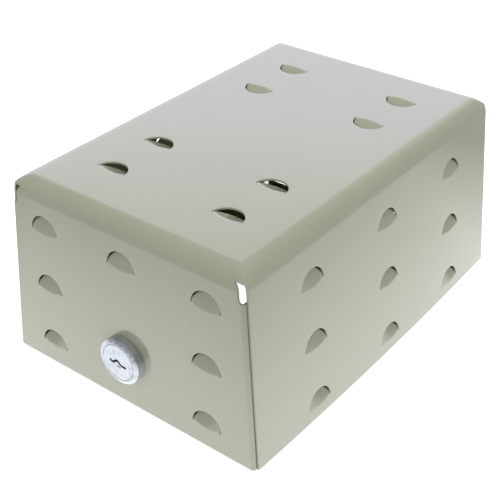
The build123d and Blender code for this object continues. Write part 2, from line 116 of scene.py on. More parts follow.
def noiseOver(tree, place, scale, detail, roughness=0.5):
    inputs = {"Vector": place, "Scale": scale, "Detail": detail, "Roughness": roughness}
    return addNode(tree, "ShaderNodeTexNoise", inputs).outputs["Fac"]


def stretchedPlace(tree, place, scale, shift=(0.0, 0.0, 0.0)):
    inputs = {"Vector": place, "Location": shift, "Scale": scale}
    return addNode(tree, "ShaderNodeMapping", inputs).outputs["Vector"]


def rampBetween(tree, factor, low, high, start=0.0, end=1.0):
    ramp = addNode(tree, "ShaderNodeValToRGB", {"Fac": factor})
    ramp.color_ramp.elements[0].position = start
    ramp.color_ramp.elements[0].color = (*low, 1.0)
    ramp.color_ramp.elements[1].position = end
    ramp.color_ramp.elements[1].color = (*high, 1.0)
    return ramp.outputs["Color"]


def rangeBetween(tree, factor, low, high, start=0.0, end=1.0):
    inputs = {"Value": factor, "From Min": start, "From Max": end, "To Min": low, "To Max": high}
    return addNode(tree, "ShaderNodeMapRange", inputs).outputs["Result"]


def mixColours(tree, factor, first, second):
    inputs = {"Factor": factor, "A": first, "B": second}
    return addNode(tree, "ShaderNodeMix", inputs, data_type="RGBA").outputs["Result"]


def mathOf(tree, operation, *values):
    inputs = dict(enumerate(values))
    return addNode(tree, "ShaderNodeMath", inputs, operation=operation).outputs[0]


def bumpFrom(tree, height, millimetres, under=None):
    inputs = {"Height": height, "Strength": 1.0, "Distance": millimetres * mm}
    if under is not None:
        inputs["Normal"] = under
    return addNode(tree, "ShaderNodeBump", inputs).outputs["Normal"]


# Enamel: baked gloss paint with faint clouds, specks and orange peel under a clear top
# In every finish a scale is that of a noise, per metre; all lengths are in millimetres
enamel = {
    "deep": (0.340, 0.341, 0.233),
    "pale": (0.386, 0.387, 0.270),
    "cloudScale": 14.0,
    "speck": (0.29, 0.29, 0.19),
    "speckScale": 1400.0,
    "speckRange": (0.66, 0.78),          # noise values at which a speck begins and is full
    "speckStrength": 0.35,
    "roughness": (0.22, 0.30),
    "refraction": 1.5,
    "clearRefraction": 2.0,
    "clearRoughness": 0.07,
    "peelSize": 1.7,
    "peelHeight": 0.008,
    "rippleSize": 38.0,
    "rippleHeight": 0.035,
}


def makeEnamel(values):
    material, tree, shader = newMaterial("beigeEnamel")
    place = objectPlace(tree)
    cloud = noiseOver(tree, place, values["cloudScale"], detail=3.0, roughness=0.6)
    grain = noiseOver(tree, place, values["speckScale"], detail=2.0)
    body = rampBetween(tree, cloud, values["deep"], values["pale"])
    speckMask = rangeBetween(tree, grain, 0.0, values["speckStrength"], *values["speckRange"])
    colour = mixColours(tree, speckMask, body, (*values["speck"], 1.0))
    tree.links.new(colour, shader.inputs["Base Color"])
    gloss = rangeBetween(tree, cloud, *values["roughness"])
    tree.links.new(gloss, shader.inputs["Roughness"])
    ripple = noiseOver(tree, place, 1000.0 / values["rippleSize"], detail=1.0)
    peel = noiseOver(tree, place, 1000.0 / values["peelSize"], detail=1.5)
    wave = bumpFrom(tree, ripple, values["rippleHeight"])
    skin = bumpFrom(tree, peel, values["peelHeight"], under=wave)
    tree.links.new(skin, shader.inputs["Normal"])
    shader.inputs["IOR"].default_value = values["refraction"]
    shader.inputs["Coat Weight"].default_value = 1.0
    shader.inputs["Coat IOR"].default_value = values["clearRefraction"]
    shader.inputs["Coat Roughness"].default_value = values["clearRoughness"]
    return material


# Nickel of the lock head, turned on a lathe about the axis of the lock
nickel = {
    "bright": (0.68, 0.72, 0.80),
    "dull": (0.52, 0.54, 0.58),
    "smearScale": 240.0,
    "smearRange": (0.30, 0.55),
    "roughness": (0.16, 0.34),
    "ringPitch": 0.16,
    "ringHeight": 0.004,
    "ringRange": (0.3, 0.7),
    "axisHeight": 25.25,     # above the wall, at the face of the head
    "brushing": 0.35,
}


def makeTurnedNickel(values):
    material, tree, shader = newMaterial("turnedNickel")
    place = objectPlace(tree)
    toAxis = (0.0, 0.0, -values["axisHeight"] * mm)
    centred = stretchedPlace(tree, place, (1.0, 0.0, 1.0), toAxis)
    radius = addNode(tree, "ShaderNodeVectorMath", {0: centred}, operation="LENGTH")
    along = addNode(tree, "ShaderNodeSeparateXYZ", {"Vector": place})
    inputs = {"X": radius.outputs["Value"], "Y": along.outputs["Y"]}
    line = addNode(tree, "ShaderNodeCombineXYZ", inputs).outputs["Vector"]
    rings = noiseOver(tree, line, 1000.0 / values["ringPitch"], detail=2.0, roughness=0.7)
    smear = noiseOver(tree, place, values["smearScale"], detail=4.0)
    tone = rampBetween(tree, smear, values["dull"], values["bright"], *values["smearRange"])
    tree.links.new(tone, shader.inputs["Base Color"])
    rough = rangeBetween(tree, rings, *values["roughness"], *values["ringRange"])
    tree.links.new(rough, shader.inputs["Roughness"])
    tree.links.new(bumpFrom(tree, rings, values["ringHeight"]), shader.inputs["Normal"])
    shader.inputs["Metallic"].default_value = 1.0
    shader.inputs["Anisotropic"].default_value = values["brushing"]
    return material


# Zinc plate on the cam, the keeper and the fastenings: faint spangle, bluish to yellow
zinc = {
    "cool": (0.58, 0.61, 0.64),
    "warm": (0.66, 0.63, 0.52),
    "driftScale": 90.0,
    "driftRange": (0.4, 0.75),
    "roughness": (0.28, 0.46),
    "spangle": 5.0,
    "scratchScale": 2200.0,
    "scratchHeight": 0.006,
}


def makeZinc(values):
    material, tree, shader = newMaterial("zincPlate")
    place = objectPlace(tree)
    inputs = {"Vector": place, "Scale": 1000.0 / values["spangle"]}
    cells = addNode(tree, "ShaderNodeTexVoronoi", inputs, feature="F1").outputs["Color"]
    patch = addNode(tree, "ShaderNodeSeparateColor", {"Color": cells}).outputs["Red"]
    drift = noiseOver(tree, place, values["driftScale"], detail=3.0)
    tone = rampBetween(tree, drift, values["cool"], values["warm"], *values["driftRange"])
    tree.links.new(tone, shader.inputs["Base Color"])
    rough = rangeBetween(tree, patch, *values["roughness"])
    tree.links.new(rough, shader.inputs["Roughness"])
    scratch = noiseOver(tree, place, values["scratchScale"], detail=2.0)
    tree.links.new(bumpFrom(tree, scratch, values["scratchHeight"]), shader.inputs["Normal"])
    shader.inputs["Metallic"].default_value = 1.0
    return material


# Spring wire: drawn steel with darker streaks
springSteel = {
    "light": (0.56, 0.57, 0.60),
    "dark": (0.36, 0.37, 0.39),
    "streakScale": 1800.0,
    "streakRange": (0.35, 0.6),
    "roughness": 0.3,
}


def makeSpringSteel(values):
    material, tree, shader = newMaterial("springSteel")
    streak = noiseOver(tree, objectPlace(tree), values["streakScale"], detail=3.0)
    tone = rampBetween(tree, streak, values["dark"], values["light"], *values["streakRange"])
    tree.links.new(tone, shader.inputs["Base Color"])
    shader.inputs["Metallic"].default_value = 1.0
    shader.inputs["Roughness"].default_value = values["roughness"]
    return material


# Wafers: stamped brass, brushed along the stamping direction and browned a little
waferBrass = {
    "fresh": (0.78, 0.60, 0.30),
    "aged": (0.52, 0.38, 0.18),
    "ageScale": 500.0,
    "ageRange": (0.35, 0.6),
    "roughness": (0.26, 0.42),
    "brushScale": (400.0, 400.0, 4000.0),
    "brushHeight": 0.003,
}


def makeWaferBrass(values):
    material, tree, shader = newMaterial("waferBrass")
    place = objectPlace(tree)
    brushed = noiseOver(tree, stretchedPlace(tree, place, values["brushScale"]), 1.0, detail=2.0)
    age = noiseOver(tree, place, values["ageScale"], detail=4.0)
    tone = rampBetween(tree, age, values["aged"], values["fresh"], *values["ageRange"])
    tree.links.new(tone, shader.inputs["Base Color"])
    rough = rangeBetween(tree, brushed, *values["roughness"])
    tree.links.new(rough, shader.inputs["Roughness"])
    tree.links.new(bumpFrom(tree, brushed, values["brushHeight"]), shader.inputs["Normal"])
    shader.inputs["Metallic"].default_value = 1.0
    return material


finishes = {
    "beige_enamel": makeEnamel(enamel),
    "nickel": makeTurnedNickel(nickel),
    "zinc_plate": makeZinc(zinc),
    "spring_wire": makeSpringSteel(springSteel),
    "wafer_brass": makeWaferBrass(waferBrass),
}
print("finishes mixed:", ", ".join(finishes))


# Cover: one folded sheet, drawn as its outer skin in millimetres and thickened inwards at the end
cover = {
    "frontLength": 190.0,    # where the walls would meet the front
    "frontWidth": 124.0,
    "endLean": math.radians(1.8),
    "sideLean": math.radians(4.8),
    "sideBow": 1.7,          # how far a long wall springs outwards at the middle of its free edge
    "bowFade": 1.5,          # power with which that dies out towards the front
    "sheet": 1.0,
    "wallGap": 0.8,
    "frontBend": 8.0,
    "bendSteps": 12,
    "cornerBend": 1.6,
    "cornerSteps": 7,
    "cornerTab": 12.0,       # strip of an end wall behind the side wall
    "tabCells": 3,
    "tabClearance": 0.03,
    "seamGap": 0.3,
    "slotWidth": 3.4,
    "slotLevel": 78.7,
    "slotTopStep": 8,        # bend step at which the corner slot ends
    "slotRound": 1.3,
    "slotSteps": 4,
    "slotMargin": 0.1,       # least distance from the round of the slot to the fold
    "mitreRound": 2.6,
    "mitreShare": 0.5,       # most of a bend's reach that the round of the mitre takes
    "mitreSteps": 8,
    "mitreCells": 12,
    "sideCells": 3,          # cells beside the mitre, towards the side wall and the end wall
    "endCells": 3,
    "edgeRound": 0.22,
    "gridPitch": 9.0,
    "gridMargin": 3.0,       # between the grid of a wall and its openings
    "weld": 0.02,            # points closer than this become one
    "sliver": 0.001,         # edges shorter than this are dissolved
    "tolerance": 1e-5,       # of the triangulation
    "lockHeight": 25.1,
    "lockHole": 9.6,
    "lockFlats": 8.1,
    "lockSteps": 48,
    "hingeSpread": 44.0,
    "hingeSlot": (14.0, 3.6),
    "hingeLevel": 6.5,
}
louvre = {
    "radius": 7.5,
    "kerf": 0.3,
    "angle": 21.0,
    "bend": 3.0,
    "foldSag": 1.5,          # how far the fold of a tongue sags below its chord
    "arcSteps": 24,
    "chordSteps": 12,
    "bendRows": 4,           # rows of points across the bend, and their distance from the rim
    "bendMargin": 0.7,
    "tipMargin": 1.0,
    "rimInset": 0.8,         # ring of points inside the rim
    "ringSkip": 2,           # arc steps that it leaves out at either end
    "flatRows": (2.4, 3.6, 4.8),
    "flatMargin": 0.9,       # from those rows to the ring
    "rows": 3,
    "endRow": 10.9,
    "sideRow": 6.9,
    "rowPitch": 29.4,
    "endColumn": 44.0,
    "sideColumnPitch": 56.3,
    "sideColumnShift": 2.6,
    "frontColumn": 31.2,
    "frontRow": 28.3,
    "frontRowPitch": 28.8,
    "frontRows": 2,
    "join": 0.02,            # from the rim of a tongue's fold to the sheet
}
quarterTurn = math.pi / 2
bothWays = (-1, 1)
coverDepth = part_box("cover_shell")[1][2] / mm
bendLevel = coverDepth - cover["frontBend"]
sideRun, endRun = math.tan(cover["sideLean"]), math.tan(cover["endLean"])
sideSheet = cover["sheet"] / math.cos(cover["sideLean"])
seamInset = cover["cornerBend"] + cover["seamGap"]
tongueReach = louvre["radius"] - louvre["kerf"]


def flatHalf(width, lean):
    # half of the flat front, up to where a bend of this lean begins
    return width / 2 - cover["frontBend"] * (1 - math.sin(lean)) / math.cos(lean)


innerX = flatHalf(cover["frontWidth"], cover["sideLean"])
innerY = flatHalf(cover["frontLength"], cover["endLean"])


def reachAt(level, lean, inset=0.0):
    # how far a wall and its bend stand out past the flat front at a level
    radius = cover["frontBend"] - inset
    rise = level - bendLevel
    if rise > radius * math.sin(lean):
        return math.sqrt(max(0.0, radius ** 2 - rise ** 2))
    return (radius - rise * math.sin(lean)) / math.cos(lean)


def sideAt(level, inset=0.0):
    return innerX + reachAt(level, cover["sideLean"], inset)


def endAt(level):
    return innerY + reachAt(level, cover["endLean"])


def sideLine(level):
    return cover["frontWidth"] / 2 + (coverDepth - level) * sideRun


def endLine(level):
    return cover["frontLength"] / 2 + (coverDepth - level) * endRun


def foldAt(level):
    # where an end wall begins to turn behind the side wall
    return sideLine(level) - sideSheet - cover["cornerBend"]


def sideEdgeAt(level):
    return endLine(level) - seamInset


def slotEdgeAt(level):
    return sideAt(level, cover["slotWidth"])


def stepLevel(step):
    # level of one step down the front bend
    return bendLevel + cover["frontBend"] * math.cos(quarterTurn * step / cover["bendSteps"])


def spread(first, last, pitch):
    steps = max(1, round(abs(last - first) / pitch))
    return [first + (last - first) * i / steps for i in range(steps + 1)]


frontXs = spread(-innerX, innerX, cover["gridPitch"])
frontYs = spread(-innerY, innerY, cover["gridPitch"])
endZs = spread(cover["wallGap"], cover["slotLevel"], cover["gridPitch"])
sideZs = spread(cover["wallGap"], bendLevel, cover["gridPitch"])
arcTurns = [math.pi * i / louvre["arcSteps"] for i in range(louvre["arcSteps"] + 1)]
chordXs = [
    -tongueReach + 2 * tongueReach * i / louvre["chordSteps"]
    for i in range(louvre["chordSteps"] + 1)
]


def onArc(radius, turns):
    return [(radius * math.cos(turn), radius * math.sin(turn)) for turn in turns]


def foldDrop(x):
    return louvre["foldSag"] * (1.0 - (x / tongueReach) ** 2)


def louvreOutline():
    # the opening that the tongue leaves: arc over the chord, then the sagging fold back
    return onArc(louvre["radius"], arcTurns) + [(x, -foldDrop(x)) for x in chordXs]


def loopEdges(loop):
    return zip(loop, loop[1:] + loop[:1])


def insideLoop(point, loop):
    inside = False
    for (ax, ay), (bx, by) in loopEdges(loop):
        if (ay > point[1]) != (by > point[1]):
            if point[0] < ax + (point[1] - ay) * (bx - ax) / (by - ay):
                inside = not inside
    return inside


def distanceToLoop(point, loop):
    best = math.inf
    for (ax, ay), (bx, by) in loopEdges(loop):
        px, py = point[0] - ax, point[1] - ay
        run = (bx - ax) ** 2 + (by - ay) ** 2
        t = 0.0
        if run > 0:
            t = max(0.0, min(1.0, (px * (bx - ax) + py * (by - ay)) / run))
        best = min(best, math.hypot(px - t * (bx - ax), py - t * (by - ay)))
    return best


def onSheet(point, outline, holes):
    # inside the outline and in none of the holes
    return insideLoop(point, outline) and not any(insideLoop(point, hole) for hole in holes)


def fillRegion(skin, outline, holes, extra, lift):
    # triangles between an outline and its holes, then lifted into place
    points, edges = [], []
    for loop in [outline] + holes:
        first = len(points)
        points += [Vector(p) for p in loop]
        edges += [(first + i, first + (i + 1) % len(loop)) for i in range(len(loop))]
    points += [Vector(p) for p in extra]
    verts, _, faces, *_ = delaunay_2d_cdt(points, edges, [], 0, cover["tolerance"])
    made = [skin.verts.new(lift(*p)) for p in verts]
    for face in faces:
        centre = sum((verts[i] for i in face), Vector((0.0, 0.0))) / len(face)
        if onSheet(centre, outline, holes):
            skin.faces.new([made[i] for i in face])


def gridInside(outline, holes, pitch, margin):
    xs = [p[0] for p in outline]
    ys = [p[1] for p in outline]
    found = []
    for x in spread(min(xs), max(xs), pitch)[1:-1]:
        for y in spread(min(ys), max(ys), pitch)[1:-1]:
            if onSheet((x, y), outline, holes):
                if min(distanceToLoop((x, y), loop) for loop in [outline] + holes) > margin:
                    found.append((x, y))
    return found


def wallPanel(skin, outline, holes, lift):
    extra = gridInside(outline, holes, cover["gridPitch"], cover["gridMargin"])
    fillRegion(skin, outline, holes, extra, lift)


def addGrid(skin, rows):
    # quads between rows of points of equal count; a missing cell is None
    made = [[None if p is None else skin.verts.new(p) for p in row] for row in rows]
    for upper, lower in zip(made, made[1:]):
        for i in range(len(upper) - 1):
            corners = [upper[i], upper[i + 1], lower[i + 1], lower[i]]
            if None not in corners:
                skin.faces.new(corners)


def leaning(lean, sign):
    # outward and upward on a wall, as run and rise
    return (sign * math.cos(lean), math.sin(lean)), (-sign * math.sin(lean), math.cos(lean))


def findLouvrePlaces():
    # wall, centre of the chord, outward direction, direction from chord to arc
    found = []
    for row in range(louvre["rows"]):
        sideZ = louvre["sideRow"] + row * louvre["rowPitch"]
        endZ = louvre["endRow"] + row * louvre["rowPitch"]
        for side in bothWays:
            (outX, outZ), (upX, upZ) = leaning(cover["sideLean"], side)
            for column in (-1, 0, 1):
                sideY = column * louvre["sideColumnPitch"] + louvre["sideColumnShift"]
                place = (side * sideAt(sideZ), sideY, sideZ)
                found.append(("side", place, (outX, 0, outZ), (upX, 0, upZ)))
        for wall, end in (("far", 1), ("near", -1)):
            (outY, outZ), (upY, upZ) = leaning(cover["endLean"], end)
            for x in (-louvre["endColumn"], 0.0, louvre["endColumn"]):
                # the lock takes the lower middle of its wall
                if wall == "far" or x or row == louvre["rows"] - 1:
                    place = (x, end * endAt(endZ), endZ)
                    found.append((wall, place, (0, outY, outZ), (0, upY, upZ)))
    firstY = cover["frontLength"] / 2 - louvre["frontRow"]
    for end in bothWays:
        for x in (-louvre["frontColumn"], louvre["frontColumn"]):
            for row in range(louvre["frontRows"]):
                place = (x, end * (firstY - row * louvre["frontRowPitch"]), coverDepth)
                found.append(("front", place, (0, 0, 1), (0, -end, 0)))
    return found


louvrePlaces = findLouvrePlaces()


def openingsOn(wall, side, toPanel):
    holes = []
    for name, place, outward, up in louvrePlaces:
        if name == wall and (side is None or outward[0] * side > 0):
            right = Vector(up).cross(Vector(outward))
            rim = [Vector(place) + right * x + Vector(up) * y for x, y in louvreOutline()]
            holes.append([toPanel(point) for point in rim])
    return holes


def cornerRow(step):
    # one level of the corner between two front bends: side part, soft mitre, end part
    topStep = cover["slotTopStep"]
    level, topLevel = stepLevel(step), stepLevel(topStep)
    reachX, reachY = sideAt(level) - innerX, endAt(level) - innerY
    tightest = endAt(topLevel) - sideEdgeAt(topLevel)
    # the round of the mitre tightens towards the top of the slot
    blend = max(0.0, min(1.0, (step - topStep / 2) / (topStep / 2)))
    blend = blend * blend * (3 - 2 * blend)
    widest = min(cover["mitreShare"] * reachX, cover["mitreRound"])
    fillet = widest * (1 - blend) + tightest * blend
    if step >= topStep:
        start, stop = sideEdgeAt(level) - innerY, slotEdgeAt(level) - innerX
    else:
        start = reachY - fillet
        stop = reachX * (slotEdgeAt(topLevel) - innerX) / (sideAt(topLevel) - innerX)
        stop = min(stop, reachX - fillet)
    turns = [quarterTurn * i / cover["mitreSteps"] for i in range(cover["mitreSteps"] + 1)]
    mitre = [(reachX - fillet + x, reachY - fillet + y) for x, y in onArc(fillet, turns)]
    path = [(reachX, start)] + mitre + [(stop, reachY)]
    return level, reachX, reachY, start, stop, path


def alongPath(path, count):
    runs = [math.hypot(b[0] - a[0], b[1] - a[1]) for a, b in zip(path, path[1:])]
    total = sum(runs)
    points = []
    for k in range(count + 1):
        want = total * k / count
        index = 0
        while index < len(runs) - 1 and want > runs[index]:
            want -= runs[index]
            index += 1
        t = 0.0 if runs[index] == 0 else min(1.0, want / runs[index])
        a, b = path[index], path[index + 1]
        points.append((a[0] + (b[0] - a[0]) * t, a[1] + (b[1] - a[1]) * t))
    return points


def cornerPatch(skin, signX, signY):
    sideCells, mitreCells, endCells = cover["sideCells"], cover["mitreCells"], cover["endCells"]
    rows = []
    for step in range(cover["bendSteps"] + 1):
        level, reachX, reachY, start, stop, path = cornerRow(step)
        plan = [(reachX, start * i / sideCells) for i in range(sideCells)]
        middle = alongPath(path, mitreCells)
        if step > cover["slotTopStep"]:
            middle = [middle[0]] + [None] * (mitreCells - 1) + [middle[-1]]
        plan += middle
        plan += [(stop * (1 - i / endCells), reachY) for i in range(1, endCells + 1)]
        rows.append([
            None if p is None else (signX * (innerX + p[0]), signY * (innerY + p[1]), level)
            for p in plan
        ])
    addGrid(skin, rows)


def addFront(skin):
    outline = [(x, -innerY) for x in frontXs] + [(innerX, y) for y in frontYs[1:]]
    outline += [(x, innerY) for x in reversed(frontXs[:-1])]
    outline += [(-innerX, y) for y in reversed(frontYs[1:-1])]
    holes = openingsOn("front", None, lambda p: (p.x, p.y))
    wallPanel(skin, outline, holes, lambda x, y: (x, y, coverDepth))


def addFrontBends(skin):
    levels = [stepLevel(step) for step in range(cover["bendSteps"] + 1)]
    for sign in bothWays:
        addGrid(skin, [[(sign * sideAt(level), y, level) for y in frontYs] for level in levels])
        addGrid(skin, [[(x, sign * endAt(level), level) for x in frontXs] for level in levels])
    for signX in bothWays:
        for signY in bothWays:
            cornerPatch(skin, signX, signY)


def addSideWalls(skin):
    foot, cells = cover["wallGap"], cover["sideCells"]
    edge = sideEdgeAt(bendLevel) - innerY
    capYs = [innerY + edge * i / cells for i in range(1, cells + 1)]
    topYs = [-y for y in reversed(capYs)] + frontYs + capYs
    footEdge = sideEdgeAt(foot)
    for sign in bothWays:
        outline = [(y, foot) for y in spread(-footEdge, footEdge, cover["gridPitch"])]
        outline += [(sideEdgeAt(z), z) for z in sideZs[1:-1]]
        outline += [(y, bendLevel) for y in reversed(topYs)]
        outline += [(-sideEdgeAt(z), z) for z in reversed(sideZs[1:-1])]
        holes = openingsOn("side", sign, lambda p: (p.y, p.z))
        wallPanel(skin, outline, holes, lambda y, z: (sign * sideAt(z), y, z))


def slotFoot():
    # rounded lower end of the corner slot, up from the end wall
    radius, steps = cover["slotRound"], cover["slotSteps"]
    curve = []
    for i in range(steps + 1):
        turn = quarterTurn * i / steps
        level = cover["slotLevel"] + radius * (1 - math.sin(turn))
        curve.append((slotEdgeAt(level) + radius * (1 - math.cos(turn)), level))
    return curve


def barrelHole():
    # round with two flats, like the barrel of the lock
    hole = []
    for i in range(cover["lockSteps"]):
        turn = 2 * math.pi * i / cover["lockSteps"]
        across = cover["lockHole"] * math.cos(turn)
        across = max(-cover["lockFlats"], min(cover["lockFlats"], across))
        rise = cover["lockHole"] * math.sin(turn) * math.cos(cover["endLean"])
        hole.append((across, cover["lockHeight"] + rise))
    return hole


def hingeSlots():
    wide, tall = cover["hingeSlot"]
    level = cover["hingeLevel"]
    corners = [(-1, -1), (1, -1), (1, 1), (-1, 1)]
    return [
        [(middle + a * wide / 2, level + b * tall / 2) for a, b in corners]
        for middle in (-cover["hingeSpread"] / 2, cover["hingeSpread"] / 2)
    ]


def addEndWalls(skin):
    # notched beside the corner slots
    foot, cells = cover["wallGap"], cover["endCells"]
    stop = slotEdgeAt(stepLevel(cover["bendSteps"])) - innerX
    capXs = [innerX + stop * i / cells for i in range(1, cells + 1)]
    fold = foldAt(cover["slotLevel"])
    rightEdge = [(foldAt(z), z) for z in endZs[1:-1]] + [(fold, cover["slotLevel"])]
    rightEdge += [p for p in reversed(slotFoot()) if p[0] < fold - cover["slotMargin"]]
    rightEdge += [(x, bendLevel) for x in reversed(capXs)]
    leftEdge = [(-x, z) for x, z in reversed(rightEdge)]
    footFold = foldAt(foot)
    for sign in bothWays:
        outline = [(x, foot) for x in spread(-footFold, footFold, cover["gridPitch"])]
        outline += rightEdge + [(x, bendLevel) for x in reversed(frontXs)] + leftEdge
        holes = openingsOn("near" if sign < 0 else "far", None, lambda p: (p.x, p.z))
        holes += [barrelHole()] if sign < 0 else hingeSlots()
        wallPanel(skin, outline, holes, lambda x, z: (x, sign * endAt(z), z))


def addCornerTabs(skin):
    # strips that turn round the upright corners and lie behind the side walls
    bend, cells = cover["cornerBend"], cover["tabCells"]
    turnStart = -sideSheet - bend
    tabPlace = -sideSheet - cover["tabClearance"]
    plan = []
    for i in range(cover["cornerSteps"] + 1):
        turn = quarterTurn * i / cover["cornerSteps"]
        across = (tabPlace - turnStart) * math.sin(turn)
        plan.append((turnStart + across, -bend * (1 - math.cos(turn))))
    plan += [(tabPlace, -bend - cover["cornerTab"] * i / cells) for i in range(1, cells + 1)]
    for signX in bothWays:
        for signY in bothWays:
            addGrid(skin, [
                [(signX * (sideLine(z) + x), signY * (endLine(z) + y), z) for x, y in plan]
                for z in endZs
            ])


def buildSkin():
    skin = bmesh.new()
    addFront(skin)
    addFrontBends(skin)
    addSideWalls(skin)
    addEndWalls(skin)
    addCornerTabs(skin)
    bmesh.ops.remove_doubles(skin, verts=skin.verts, dist=cover["weld"])
    bmesh.ops.dissolve_degenerate(skin, edges=skin.edges, dist=cover["sliver"])
    return skin


def skinToObject(skin, name):
    for vertex in skin.verts:
        vertex.co *= mm
    mesh = bpy.data.meshes.new(name)
    skin.to_mesh(mesh)
    skin.free()
    return intoScene(bpy.data.objects.new(name, mesh))


def turnOutwards(skin):
    # every face away from a point in the middle of the cover
    middle = Vector((0.0, 0.0, coverDepth / 2))
    for face in skin.faces:
        centre = face.calc_center_median()
        if face.normal.dot(centre - middle) < 0:
            face.normal_flip()


def tonguePoints(bendRun):
    # inner points of a tongue: rows across its bend, a ring inside its rim, rows on its flat
    points = []
    for row in range(1, louvre["bendRows"] + 1):
        for x in chordXs[1:-1]:
            y = bendRun * row / louvre["bendRows"] - foldDrop(x)
            clear = math.hypot(x, max(y, 0.0)) < tongueReach - louvre["bendMargin"]
            if clear and abs(x) < tongueReach - louvre["tipMargin"]:
                points.append((x, y))
    ring = tongueReach - louvre["rimInset"]
    points += onArc(ring, arcTurns[louvre["ringSkip"]:-louvre["ringSkip"]])
    for y in louvre["flatRows"]:
        rest = [x for x in chordXs[1:-1] if math.hypot(x, y) < ring - louvre["flatMargin"]]
        points += [(x, y) for x in rest]
    return points


def buildTongue():
    # half disc, bent inwards about its sagging fold
    outline = onArc(tongueReach, arcTurns) + [(x, -foldDrop(x)) for x in chordXs[1:-1]]
    bend, bendAngle = louvre["bend"], math.radians(louvre["angle"])
    bendRun = bend * bendAngle
    tongue = bmesh.new()

    def bent(x, y):
        run = y + foldDrop(x)
        turned = min(run / bend, bendAngle)
        straight = max(0.0, run - bendRun)
        out = bend * math.sin(turned) + straight * math.cos(turned) - foldDrop(x)
        drop = bend * (1 - math.cos(turned)) + straight * math.sin(turned)
        return (x, out, -drop)

    fillRegion(tongue, outline, [], tonguePoints(bendRun), bent)
    for face in tongue.faces:
        face.normal_update()
        if face.normal.z < 0:
            face.normal_flip()
    return skinToObject(tongue, "louvreTongue")


def louvreTree():
    # places the tongue on every marked point, joins it to the folded sheet and gives the enamel
    tree = bpy.data.node_groups.new("louvredSheet", "GeometryNodeTree")
    face = tree.interface
    face.new_socket("Sheet", in_out="INPUT", socket_type="NodeSocketGeometry")
    face.new_socket("Tongue", in_out="INPUT", socket_type="NodeSocketObject")
    face.new_socket("Places", in_out="INPUT", socket_type="NodeSocketObject")
    size = face.new_socket("Louvre Size", in_out="INPUT", socket_type="NodeSocketFloat")
    size.default_value = 1.0
    join = face.new_socket("Join Distance", in_out="INPUT", socket_type="NodeSocketFloat")
    join.default_value = louvre["join"] * mm
    face.new_socket("Finish", in_out="INPUT", socket_type="NodeSocketMaterial")
    face.new_socket("Cover", in_out="OUTPUT", socket_type="NodeSocketGeometry")
    enter = addNode(tree, "NodeGroupInput").outputs
    leave = addNode(tree, "NodeGroupOutput")
    tongue = addNode(tree, "GeometryNodeObjectInfo", {"Object": enter["Tongue"]})
    places = addNode(tree, "GeometryNodeObjectInfo", {"Object": enter["Places"]})
    inputs = {"Name": "turn"}
    turn = addNode(tree, "GeometryNodeInputNamedAttribute", inputs, data_type="FLOAT_VECTOR")
    facing = addNode(tree, "FunctionNodeEulerToRotation", {"Euler": turn.outputs["Attribute"]})
    inputs = {
        "Points": places.outputs["Geometry"],
        "Instance": tongue.outputs["Geometry"],
        "Rotation": facing.outputs["Rotation"],
        "Scale": enter["Louvre Size"],
    }
    tongues = addNode(tree, "GeometryNodeInstanceOnPoints", inputs).outputs["Instances"]
    solid = addNode(tree, "GeometryNodeRealizeInstances", {"Geometry": tongues})
    joined = addNode(tree, "GeometryNodeJoinGeometry")
    tree.links.new(solid.outputs["Geometry"], joined.inputs["Geometry"])
    tree.links.new(enter["Sheet"], joined.inputs["Geometry"])
    inputs = {"Geometry": joined.outputs["Geometry"], "Distance": enter["Join Distance"]}
    merged = addNode(tree, "GeometryNodeMergeByDistance", inputs).outputs["Geometry"]
    smooth = addNode(tree, "GeometryNodeSetShadeSmooth", {"Geometry": merged}).outputs["Geometry"]
    inputs = {"Geometry": smooth, "Material": enter["Finish"]}
    finish = addNode(tree, "GeometryNodeSetMaterial", inputs).outputs["Geometry"]
    tree.links.new(finish, leave.inputs["Cover"])
    return tree


def louvrePoints():
    mesh = bpy.data.meshes.new("louvrePlaces")
    mesh.from_pydata([Vector(place) * mm for _, place, _, _ in louvrePlaces], [], [])
    turns = mesh.attributes.new("turn", "FLOAT_VECTOR", "POINT")
    for i, (_, _, outward, up) in enumerate(louvrePlaces):
        right = Vector(up).cross(Vector(outward))
        turn = Matrix((right, Vector(up), Vector(outward))).transposed()
        turns.data[i].vector = turn.to_euler()
    return intoScene(bpy.data.objects.new("louvrePlaces", mesh))


def bakeNodes(item, name):
    # the evaluated modifier becomes a plain mesh on a new object
    evaluated = item.evaluated_get(bpy.context.evaluated_depsgraph_get())
    mesh = bpy.data.meshes.new_from_object(evaluated)
    mesh.name = name
    baked = intoScene(bpy.data.objects.new(name, mesh))
    bpy.data.objects.remove(item)
    return baked


# Edges of every piece: rounded where faces meet at more than the crease angle
edgeFinish = {"crease": math.radians(35.0), "segments": 2, "shadeWeight": 50}


def finishEdges(item, width):
    bevel = item.modifiers.new("softEdges", "BEVEL")
    bevel.width = width * mm
    bevel.segments = edgeFinish["segments"]
    bevel.limit_method = "ANGLE"
    bevel.angle_limit = edgeFinish["crease"]
    bevel.use_clamp_overlap = False
    bevel.miter_outer = "MITER_ARC"
    weighted = item.modifiers.new("evenShading", "WEIGHTED_NORMAL")
    weighted.keep_sharp = True
    weighted.weight = edgeFinish["shadeWeight"]


def springSides(mesh):
    # the long thin walls stand out a little between the corners, most at the free edge
    for vertex in mesh.vertices:
        x, y, z = (c / mm for c in vertex.co)
        if abs(x) > innerX and z < bendLevel:
            along = max(0.0, 1.0 - (y / endLine(0.0)) ** 2)
            down = ((bendLevel - z) / bendLevel) ** cover["bowFade"]
            vertex.co.x += math.copysign(cover["sideBow"] * along * down, x) * mm


def settle(item, *members):
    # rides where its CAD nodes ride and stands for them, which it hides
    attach(item, bodyOf[members[0]])
    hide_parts(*members)


